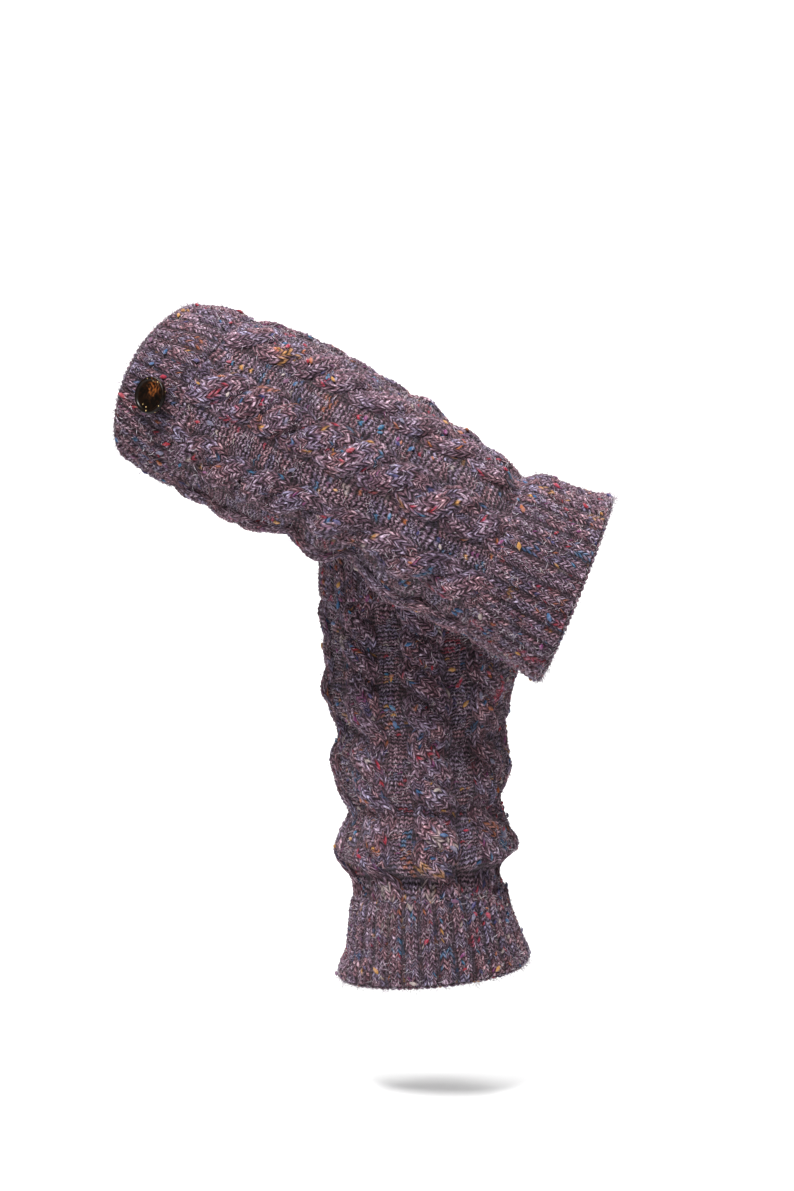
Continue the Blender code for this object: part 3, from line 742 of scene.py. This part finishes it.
# Radius of the outside: the outline less the rib height, plus the rib's rounded crest, plus the
# relief of each yarn leg, tucked in at the seam
def ribbedCuff(leg, part):
    samples = cuffShape["samples"]
    upper = part == "upper"
    rows = knit["upperCuffRows"] if upper else knit["lowerCuffRows"]
    stitches = knit["ribs"] * knit["stitchesPerRib"]
    c = np.arange(stitches * samples) / samples
    inRib = c % knit["stitchesPerRib"]
    share = np.interp(inRib, [0, 2, 3], [0, knit["knitShare"], 1]) - knit["knitShare"] / 2
    around = leg["cableTurn"] + (c // knit["stitchesPerRib"] + share) * fullTurn / knit["ribs"]
    knitColumn = inRib < 2
    zig = np.where(knitColumn | (inRib == 2), knit["zigzag"] * np.cos(fullTurn * c), 0.2)
    r = np.arange(rows * samples + 1)[:, None] / samples
    room = np.clip(np.minimum(r, rows - r), 0, 1)
    drift = unevenness(around, r * cuffShape["rowPitch"], knit["seed"] + len(part), 14, 24 * mm)
    rowAt = r + (zig + cuffShape["drift"] * drift) * room
    if upper:
        first = topRim(leg, around)
        last = first + knit["upperCuff"]
    else:
        last = bottomRim(leg, around)
        first = last - knit["lowerCuff"]
    along = first + (last - first) * rowAt / rows
    angle = np.broadcast_to(around, along.shape)
    rowPart = np.broadcast_to(r % 1, along.shape)
    lobe = yarnLobe(rowPart, c % 1)
    crest = np.sin(math.pi * np.clip(inRib / 2, 0, 1)) ** 0.5
    rib = np.where(knitColumn, cuffShape["ribLift"] * crest, 0)
    rib = rib - np.where(knitColumn, cuffShape["pairDip"] * np.exp(-(((inRib - 1) / 0.3) ** 2)), 0)
    rung = np.sin(math.pi * ((rowPart + 0.5) % 1)) * (1 - 0.5 * np.abs(2 * (c % 1) - 1))
    yarn = np.where(knitColumn, cuffShape["yarnLift"] * lobe, cuffShape["rungLift"] * rung)
    vary = 0.75 + 0.5 * pairHash(np.floor(c * 2) + 0 * r, np.floor(r) + 0 * c, 21)
    fromSeam = (rows - r) if upper else r
    tuck = np.where(knitColumn, np.interp(crest, (0, 1), cuffShape["ribTuck"]), cuffShape["groundTuck"])
    tuck = tuck * np.clip(1 - fromSeam / cuffShape["tuckRows"], 0, 1) ** 2
    sway = cuffShape["wobble"] * unevenness(angle, along, knit["seed"] + 3, 7, 40 * mm)
    outline = outlineRadius(leg, angle, along)
    radius = outline - knit["ribHeight"] + cuffShape["rise"] + rib + yarn * vary - tuck + sway
    outside = placePoints(leg, angle, along, radius)
    inner = np.linspace(0, rows * samples, rows * samples // cuffShape["innerStep"] + 1).astype(int)
    hollows = cuffShape["innerRelief"] * (1 - lobe[inner])
    innerRadius = outline[inner] - knit["cuffWall"] - hollows + sway[inner]
    inside = placePoints(leg, angle[inner], along[inner], innerRadius)

    # Half circle round an end, from the outer edge to the inner one
    def roll(outerEdge, innerEdge, outwards):
        steps = np.linspace(0, math.pi, cuffShape["rollSteps"] + 2)[1:-1, None, None]
        scallop = (0.75 + 0.5 * np.abs(np.sin(math.pi * c)))[:, None]
        bulge = cuffShape["rimRoll"] * outwards * scallop * leg["down"]
        middle = (outerEdge + innerEdge) / 2
        return middle + (outerEdge - innerEdge) / 2 * np.cos(steps) + bulge * np.sin(steps)

    bottom = roll(outside[-1], inside[-1], 0.15 if upper else 1)
    top = roll(outside[0], inside[0], -1 if upper else -0.15)
    points = np.concatenate([outside, bottom, inside[::-1], top[::-1]])
    total = len(points)
    # Painted shade in the height channel: the inside and the rolled ends at 0.5, the purl columns and the
    # valleys between rows and legs darker than the rib crests
    height = np.full((total, len(c)), 0.5)
    height[: len(r)] = np.where(knitColumn, 0.24 * crest + 0.56 * lobe, 0.05 + 0.30 * rung)
    rowNumber = np.concatenate([np.floor(r[:, 0]), np.arange(total - len(r)) // 2 + 50])
    rowNumber = np.broadcast_to(rowNumber[:, None], height.shape)
    legNumber = np.broadcast_to(np.floor(c * 2), height.shape)
    colours = yarnColours(leg, legNumber, rowNumber, height, 31 + rows)
    rolled = (np.arange(cuffShape["rollSteps"]) + 1) / samples
    turned = rows + rolled[-1] + 1 / samples
    v = np.concatenate([r[:, 0], rows + rolled, turned + rows - r[inner[::-1], 0], turned + rows + rolled])
    uv = np.stack([np.broadcast_to(c, height.shape), np.broadcast_to(v[:, None], height.shape)], axis=-1)
    rim = np.repeat((top if upper else bottom).reshape(-1, 3), cuffShape["rimHairs"], axis=0)
    leg["fleece"].append((outside.reshape(-1, 3), height[: len(r)].reshape(-1)))
    leg["fleece"].append((rim, np.full(len(rim), cuffShape["rimHeight"])))
    name = leg["name"] + part.capitalize() + "Cuff"
    piece = makePiece(name, points, gridFaces(total, len(c), True), cableWool, colours, uv, stitches)
    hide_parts(leg["name"] + "_" + part + "_cuff")
    return piece


# Ground of the body: purl rungs in the gutters, a raised plain bed under each cable
groundShape = {
    "cableShare": 0.68,
    "gutterStitches": 4,
    "samples": 4,
    "bedColumns": 6,
    "rowSamples": 3,
    "rise": 1.2 * mm,
    "bedLift": 1.2 * mm,
    "rungLift": 1.5 * mm,
    "drift": 0.5,
    "rowPitch": 3.3 * mm,
    "innerStep": 6,
    "mapColumns": 12,
}


# Radius of the ground: the outline less the cable height, plus each rung's half sine
def cableGround(leg):
    shape = groundShape
    half = shape["cableShare"] / 2
    bed = np.linspace(-half, half, shape["bedColumns"], endpoint=False)
    steps = np.arange(shape["gutterStitches"] * shape["samples"]) / shape["samples"]
    share = np.concatenate([bed, half + (1 - shape["cableShare"]) * steps / shape["gutterStitches"]])
    cable = np.repeat(np.arange(knit["cables"]), len(share))
    stitch = np.tile(np.concatenate([np.full(len(bed), -1.0), steps]), knit["cables"])
    share = np.tile(share, knit["cables"])
    around = leg["cableTurn"] + (cable + share) * fullTurn / knit["cables"]
    rows = knit["rowsPerCrossing"] * len(leg["crossings"])
    r = np.arange(-shape["rowSamples"], (rows + 1) * shape["rowSamples"] + 1)[:, None] / shape["rowSamples"]
    inGutter = stitch >= 0
    drift = shape["drift"] * unevenness(around, r * shape["rowPitch"], knit["seed"] + 40, 40, 20 * mm)
    rowAt = r + np.where(inGutter, 0.21 * np.cos(fullTurn * stitch), 0) + drift
    angle = np.broadcast_to(around, rowAt.shape)
    along = alongAt(leg, rowAt / knit["rowsPerCrossing"], angle)
    angle = swayed(leg, angle, along)
    rowPart = np.broadcast_to(r % 1, along.shape)
    rung = np.sin(math.pi * rowPart) ** 0.7 * (0.55 + 0.45 * np.abs(np.sin(math.pi * stitch)))
    legNumber = np.broadcast_to(cable * 9 + np.floor(stitch), along.shape)
    vary = 0.75 + 0.5 * pairHash(legNumber, np.floor(r) + 0 * around, 77)
    lift = np.where(inGutter, shape["rungLift"] * rung * vary, shape["bedLift"])
    outline = outlineRadius(leg, angle, along)
    outside = placePoints(leg, angle, along, outline - knit["cableHeight"] + shape["rise"] + lift)
    inner = np.linspace(0, len(r) - 1, (len(r) - 1) // shape["innerStep"] + 1).astype(int)
    inside = placePoints(leg, angle[inner], along[inner], outline[inner] - knit["bodyWall"])
    points = np.concatenate([outside, inside[::-1]])
    total = len(points)
    # Height channel, read as painted shade: 0.5 on the inside, dark on the bed under the cables, darker at
    # the gutters' sides beside the cables, in the rungs' valleys and in creases
    height = np.full((total, len(share)), 0.5)
    openness = 0.45 + 0.55 * np.sin(math.pi * np.clip(stitch, 0, None) / shape["gutterStitches"])
    crease = 1 - creaseShade["shade"] * creaseAt(leg, angle, along)
    height[: len(r)] = np.where(inGutter, (0.1 + 0.8 * rung) * openness, 0.1) * crease
    rowNumber = np.concatenate([np.floor(r[:, 0]), np.arange(len(inner)) + 100])
    rowNumber = np.broadcast_to(rowNumber[:, None], height.shape)
    colours = yarnColours(leg, np.broadcast_to(legNumber[0], height.shape), rowNumber, height, 57)
    u = np.broadcast_to((cable + share + 0.5) * shape["mapColumns"], height.shape)
    v = np.concatenate([np.arange(len(r)), 2 * len(r) - inner[::-1]])[:, None] / shape["rowSamples"]
    uv = np.stack([u, np.broadcast_to(v, height.shape)], axis=-1)
    leg["fleece"].append((outside.reshape(-1, 3), height[: len(r)].reshape(-1)))
    faces = gridFaces(total, len(share), True)
    uvTurn = shape["mapColumns"] * knit["cables"]
    piece = makePiece(leg["name"] + "Ground", points, faces, groundWool, colours, uv, uvTurn)
    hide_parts(leg["name"] + "_upper_body", leg["name"] + "_lower_body")
    return piece


# Rope strands: two to a cable, each a flat-backed band four stitches wide
strandShape = {
    "swing": 0.172,
    "halfWidth": 10.9 * mm,
    "lift": 5.4 * mm,
    "frontLift": 1.7 * mm,
    "backDrop": 2.1 * mm,
    "stitches": 4,
    "rowSamples": 3,
    "yarnLift": 1.5 * mm,
    "floor": -1.6 * mm,
    "drift": 0.34,
    "rowPitch": 3.0 * mm,
    "swell": 0.07,
    "mapShift": 7.3,
    "footShares": (0.86, 0.0, -0.86),
}


# Share of the repeat where a strand's middle runs: a cosine, a little squared off
def strandShare(turn):
    cosine = np.cos(turn)
    return -strandShape["swing"] * cosine * (1.18 - 0.18 * cosine**2)


# Each column c of a strand is a point on its arch; the stitches zigzag along its path, and the
# front strand rises with the sine of the turn while the back one drops
def ropeStrands(leg):
    shape = strandShape
    c = np.arange(shape["stitches"] * 4 + 1) / 4
    arch = math.pi * (1 - c / shape["stitches"])
    count = len(leg["crossings"])
    rows = knit["rowsPerCrossing"] * count
    r = np.arange(-shape["rowSamples"], (rows + 1) * shape["rowSamples"] + 1)[:, None] / shape["rowSamples"]
    repeat = fullTurn / knit["cables"]
    columns = len(c) + len(shape["footShares"])
    size = len(r) * columns
    sets = {"points": [], "faces": [], "legs": [], "heights": []}
    for strand in range(2 * knit["cables"]):
        cable, half = divmod(strand, 2)
        drift = unevenness(c, r * shape["rowPitch"], knit["seed"] + 600 + strand, 3, 14 * mm)
        rowAt = r + knit["zigzag"] * np.cos(fullTurn * c) + shape["drift"] * drift
        crossed = rowAt / knit["rowsPerCrossing"]
        turn = math.pi * (crossed + half)
        angle = leg["cableTurn"] + (cable + strandShare(turn)) * repeat
        centre = alongAt(leg, crossed, angle)
        forward = alongAt(leg, crossed + 0.05, angle) - alongAt(leg, crossed - 0.05, angle)
        angle = swayed(leg, angle, centre)
        radiusHere = outlineRadius(leg, angle, centre)
        sideways = strandShare(turn + 0.05 * math.pi) - strandShare(turn - 0.05 * math.pi)
        sideways = sideways * repeat * radiusHere
        forward = np.maximum(forward, 0.5 * mm)
        length = np.hypot(sideways, forward)
        rowPart = np.broadcast_to(r % 1, rowAt.shape)
        lobe = yarnLobe(rowPart, c % 1)
        vary = 0.7 + 0.6 * pairHash(np.floor(c * 2) + 0 * r, np.floor(r) + 0 * c, 200 + strand)
        swell = 1 + shape["swell"] * unevenness(angle, centre, 300 + strand, 1, 30 * mm)
        yarn = shape["yarnLift"] * (lobe * vary - 0.35)
        wide = (shape["halfWidth"] * swell + yarn) * np.cos(arch)
        sine = np.sin(turn)
        level = np.where(sine > 0, shape["frontLift"] * sine, shape["backDrop"] * sine)
        fade = np.clip((np.minimum(crossed, count - crossed) + 0.08) / 0.42, 0, 1)
        fade = 0.4 + 0.6 * fade * (2 - fade)
        high = (shape["lift"] * swell * fade + yarn) * np.sin(arch)
        aroundTop = angle + forward / length * wide / radiusHere
        alongTop = centre - sideways / length * wide
        radius = outlineRadius(leg, aroundTop, alongTop) - knit["cableHeight"]
        radius = radius + np.maximum(high + level * fade, shape["floor"])
        top = placePoints(leg, aroundTop, alongTop, radius)
        feet = np.array(shape["footShares"]) * shape["halfWidth"]
        middle = len(c) // 2
        turnsBy = (forward / length / radiusHere)[:, middle, None] * feet
        dropsBy = (sideways / length)[:, middle, None] * feet
        aroundLow = angle[:, middle, None] + turnsBy
        alongLow = (centre[:, :1] + centre[:, middle, None]) / 2 - dropsBy
        base = outlineRadius(leg, aroundLow, alongLow) - knit["cableHeight"] + shape["floor"] - 0.3 * mm
        band = np.concatenate([top, placePoints(leg, aroundLow, alongLow, base)], axis=1)
        start = strand * size
        k = np.arange(columns // 2 - 1)
        cap = np.stack([k, k + 1, columns - 2 - k, columns - 1 - k], axis=-1)
        faces = [gridFaces(len(r), columns, False, start), cap + start]
        faces.append(cap[:, ::-1] + start + size - columns)
        # Painted shade in the height channel: darker at the band's edges, between rows, where the strand
        # runs behind the other one and in creases, and dark on the flat back
        depth = (0.25 + 0.75 * lobe) * np.sin(arch) ** 0.7 * (0.82 + 0.18 * np.clip(sine * 2, -1, 1))
        depth = depth * (1 - creaseShade["shade"] * creaseAt(leg, aroundTop, alongTop))
        height = np.concatenate([depth, np.zeros((len(r), 3))], axis=1)
        legNumber = np.concatenate([np.floor(c * 2), np.zeros(3)]) + strand * 40
        sets["points"].append(band)
        sets["faces"].append(np.concatenate(faces))
        sets["legs"].append(np.broadcast_to(legNumber, height.shape))
        sets["heights"].append(np.clip(height, 0, 1))
    points = np.stack(sets["points"])
    height = np.stack(sets["heights"])
    rowNumber = np.broadcast_to(np.floor(r), height.shape)
    colours = yarnColours(leg, np.stack(sets["legs"]), rowNumber, height, 91)
    u = np.broadcast_to(np.concatenate([c, [5, 6, 7]]), height.shape)
    offset = np.arange(len(height))[:, None, None] * shape["mapShift"]
    uv = np.stack([u + offset, np.broadcast_to(r, height.shape)], axis=-1)
    leg["fleece"].append((points.reshape(-1, 3), height.reshape(-1)))
    faces = np.concatenate(sets["faces"])
    piece = makePiece(leg["name"] + "Cables", points, faces, cableWool, colours, uv)
    return piece


# Outward direction at points near the tube: away from its axis
def outwardAt(leg, points):
    along = (points - leg["origin"]) @ leg["down"]
    away = points - leg["origin"] - along[:, None] * leg["down"]
    return away / np.linalg.norm(away, axis=1, keepdims=True)


# Vectors divided by their lengths
def unit(vectors):
    return vectors / np.linalg.norm(vectors, axis=-1, keepdims=True)


# Fuzz: hairs that leave the yarn and bend once
fuzz = {
    "hairs": 13000,
    "shortest": 2.4 * mm,
    "longest": 10.0 * mm,
    "thickness": 0.18 * mm,
    "sunk": 0.3 * mm,
    "bend": 0.8,
    "lowest": 0.5,
}


# Each hair is a root point, a three-sided ring half way and a tip
def woolFuzz(leg):
    rng = np.random.default_rng(knit["seed"] + len(leg["name"]))
    points = np.concatenate([p[h > fuzz["lowest"]] for p, h in leg["fleece"]])
    roots = points[rng.choice(len(points), fuzz["hairs"], replace=False)]
    outward = outwardAt(leg, roots)
    roots = roots - fuzz["sunk"] * outward
    spread = unit(rng.normal(size=roots.shape))
    heading = unit(outward * rng.uniform(0.15, 0.9, (len(roots), 1)) + 0.8 * spread)
    heading = unit(heading + outward * np.maximum(0, 0.15 - np.sum(heading * outward, axis=1))[:, None])
    bent = unit(heading + fuzz["bend"] * unit(rng.normal(size=roots.shape)) + 0.2 * outward)
    size = fuzz["shortest"] + (fuzz["longest"] - fuzz["shortest"]) * rng.random((len(roots), 1)) ** 2.5
    middle = roots + heading * size * 0.5
    tip = middle + bent * size * 0.5
    first = unit(np.cross(heading, spread + 0.01))
    second = np.cross(heading, first)
    ring = np.arange(3) * fullTurn / 3
    circle = np.cos(ring)[:, None] * first[:, None] + np.sin(ring)[:, None] * second[:, None]
    thick = fuzz["thickness"] * rng.uniform(0.6, 1.2, (len(roots), 1, 1))
    hairs = np.concatenate([roots[:, None], middle[:, None] + circle * thick, tip[:, None]], axis=1)
    one = [(0, 2, 1), (0, 3, 2), (0, 1, 3), (4, 1, 2), (4, 2, 3), (4, 3, 1)]
    faces = np.array(one)[None] + np.arange(len(roots))[:, None, None] * 5
    shade = np.repeat(rng.random(len(roots)) ** 0.7, 5)
    heatherAndShade = np.stack([shade, shade, np.ones_like(shade), np.ones_like(shade)], axis=-1)
    piece = makePiece(leg["name"] + "Fuzz", hairs, faces.reshape(-1, 3), fibres, {"heatherAndShade": heatherAndShade})
    return piece


# Nepps: small felted tufts of coloured wool caught in the surface
nepps = {
    "taper": 0.6,
    "length": 2.8 * mm,
    "width": 1.4 * mm,
    "thickness": 1.0 * mm,
    "lift": 0.2 * mm,
    "lowest": 0.65,
    "shade": 0.78,
}


# Each is a ball whose sides draw in with the square of the length, its points moved by a random
# factor to make it ragged
def woolNepps(leg):
    rng = np.random.default_rng(knit["seed"] + 50 + len(leg["name"]))
    source = bmesh.new()
    bmesh.ops.create_icosphere(source, subdivisions=2, radius=1)
    ball = np.array([v.co[:] for v in source.verts])
    ball[:, 1:] *= 1 - nepps["taper"] * ball[:, :1] ** 2
    ballFaces = np.array([[v.index for v in f.verts] for f in source.faces])
    source.free()
    points = np.concatenate([p[h > nepps["lowest"]] for p, h in leg["fleece"]])
    places = points[rng.choice(len(points), leg["nepps"], replace=False)]
    outward = outwardAt(leg, places)
    heading = unit(np.cross(outward, rng.normal(size=places.shape)))
    across = np.cross(outward, heading)
    count = leg["nepps"]
    size = rng.uniform(0.6, 1.35, (count, 1, 1))
    ragged = ball[None] * rng.uniform(0.8, 1.2, (count, len(ball), 1)) * size
    tufts = places[:, None] + ragged[..., 0:1] * heading[:, None] * nepps["length"]
    tufts = tufts + ragged[..., 1:2] * across[:, None] * nepps["width"]
    tufts = tufts + (ragged[..., 2:3] * nepps["thickness"] + nepps["lift"]) * outward[:, None]
    faces = ballFaces[None] + np.arange(count)[:, None, None] * len(ball)
    palette = nepps["shade"] * np.array(slubs["colours"])
    colour = np.repeat(palette[rng.integers(0, len(palette), count)], len(ball), axis=0)
    slub = np.concatenate([colour, np.ones((len(colour), 1))], axis=1)
    shade = rng.random(len(colour))
    heatherAndShade = np.stack([shade, shade, 0.85 + 0 * shade, np.ones_like(shade)], axis=-1)
    colours = {"heatherAndShade": heatherAndShade, "slub": slub}
    piece = makePiece(leg["name"] + "Nepps", tufts, faces.reshape(-1, 3), tuftWool, colours)
    return piece


# Turned button with a shank: profile columns are distance from the axis and height, in mm
button = {
    "profile": (
        (4.0, 3.85),
        (7.5, 3.7),
        (10.2, 3.7),
        (10.9, 3.85),
        (11.3, 4.25),
        (11.7, 4.55),
        (12.3, 4.62),
        (12.9, 4.5),
        (13.35, 4.1),
        (13.7, 3.3),
        (13.8, 2.4),
        (13.6, 1.5),
        (13.0, 0.75),
        (12.0, 0.25),
        (9.0, 0.05),
        (3.9, 0.0),
        (3.6, -0.3),
        (3.6, -1.4),
        (3.3, -1.6),
    ),
    "middle": 3.95,
    "foot": -1.6,
    "columns": 72,
    "patchPlace": (0.28, 0.42),
    "patchSize": 0.62,
    "patchAmber": 1.1,
    "leastAmber": 0.06,
}


# Ring radius and height from the profile; the patch fades as a gaussian from its place
def makeButton(leg):
    seat = np.array(leg["seat"]) * mm
    facing = unit(np.array(leg["facing"]))
    right = unit(np.cross((0, 0, 1), facing))
    over = np.cross(facing, right)
    profile = np.array(button["profile"]) * mm
    turns = np.arange(button["columns"]) * fullTurn / button["columns"]
    circle = np.cos(turns)[:, None] * right + np.sin(turns)[:, None] * over
    rings = profile[:, 0, None, None] * circle + profile[:, 1, None, None] * facing
    ends = np.array([button["middle"], button["foot"]])[:, None] * mm * facing
    points = np.concatenate([rings.reshape(-1, 3), ends])
    quads = gridFaces(len(profile), len(turns), False)
    triangles = np.concatenate([quads[:, [0, 1, 2]], quads[:, [0, 2, 3]]])
    k = np.arange(len(turns))
    after = (k + 1) % len(turns)
    last = (len(profile) - 1) * len(turns)
    front = np.stack([k, after, np.full_like(k, len(points) - 2)], axis=-1)
    back = np.stack([last + after, last + k, np.full_like(k, len(points) - 1)], axis=-1)
    faces = np.concatenate([triangles, front, back])
    reach = np.stack([points @ right, points @ over], axis=-1) / profile[:, 0].max()
    far = np.linalg.norm(reach - np.array(button["patchPlace"]), axis=1) / button["patchSize"]
    amber = button["leastAmber"] + button["patchAmber"] * np.exp(-(far**2) * 2.0)
    patch = np.stack([amber, amber, amber, np.ones_like(amber)], axis=-1)
    name = leg["name"] + "Button"
    piece = makePiece(name, points + seat, faces, hornFinish, {"patch": patch})
    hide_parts(leg["name"] + "_button")
    return piece


# Knit all pieces of both leg warmers
for leg in (standing, raised):
    setUpLeg(leg)
    leg["fleece"] = []
    upperCuff = ribbedCuff(leg, "upper")
    lowerCuff = ribbedCuff(leg, "lower")
    ground = cableGround(leg)
    cables = ropeStrands(leg)
    print(leg["name"], "knitted")
    halo = woolFuzz(leg)
    tufts = woolNepps(leg)
    makeButton(leg)
print("pieces made")


# Plain pale floor that sweeps up behind, and soft light from above on the viewer's left
studio = {
    "floorHeight": -0.436,
    "paper": {
        "Base Color": (0.72, 0.72, 0.72, 1),
        "Roughness": 0.9,
        "Emission Color": (1, 1, 1, 1),
        "Emission Strength": 0.22,
    },
    "worldColour": (1, 1, 1),
    "worldStrength": 0.06,
    "halfWidth": 4,
    "front": -3.5,
    "back": 1.5,
    "top": 4.0,
    "lights": (
        ("key", (-0.4, -1.68, 2.0), 0.55, 110, (0, -0.06, -0.06)),
        ("fill", (-1.0, -1.9, 0.4), 1.0, 5, (0, -0.02, -0.2)),
        ("backdrop", (0, 0.7, 2.2), 1.5, 90, (0, 2.2, 0.2)),
    ),
}


# Profile of the sweep: a level stretch, a quarter circle of one metre and an upright stretch
def makeStudio():
    curve = np.linspace(0, math.pi / 2, 25)
    depth = np.concatenate([[studio["front"]], studio["back"] + np.sin(curve), [studio["back"] + 1]])
    rise = np.concatenate([[0], 1 - np.cos(curve), [studio["top"]]]) + studio["floorHeight"]
    left = np.stack([np.full_like(depth, -studio["halfWidth"]), depth, rise], axis=-1)
    right = left * (-1, 1, 1)
    points = np.stack([left, right], axis=1).reshape(-1, 3)
    k = np.arange(len(depth) - 1)[:, None] * 2
    faces = k + np.array([[0, 1, 3, 2]])
    mesh = bpy.data.meshes.new("sweep")
    mesh.from_pydata(points.tolist(), [], faces.tolist())
    mesh.shade_smooth()
    mesh.materials.append(newMaterial("palePaper", studio["paper"])[0])
    sweep = bpy.data.objects.new("sweep", mesh)
    bpy.context.scene.collection.objects.link(sweep)
    for name, place, size, power, target in studio["lights"]:
        lamp = bpy.data.lights.new(name, "AREA")
        lamp.size = size
        lamp.energy = power
        light = bpy.data.objects.new(name, lamp)
        light.location = place
        aim = Vector(target) - Vector(place)
        light.rotation_euler = aim.to_track_quat("-Z", "Y").to_euler()
        bpy.context.scene.collection.objects.link(light)
    world = bpy.data.worlds.new("studio")
    world.use_nodes = True
    background = world.node_tree.nodes["Background"]
    background.inputs["Color"].default_value = (*studio["worldColour"], 1)
    background.inputs["Strength"].default_value = studio["worldStrength"]
    bpy.context.scene.world = world


makeStudio()
print("studio made")
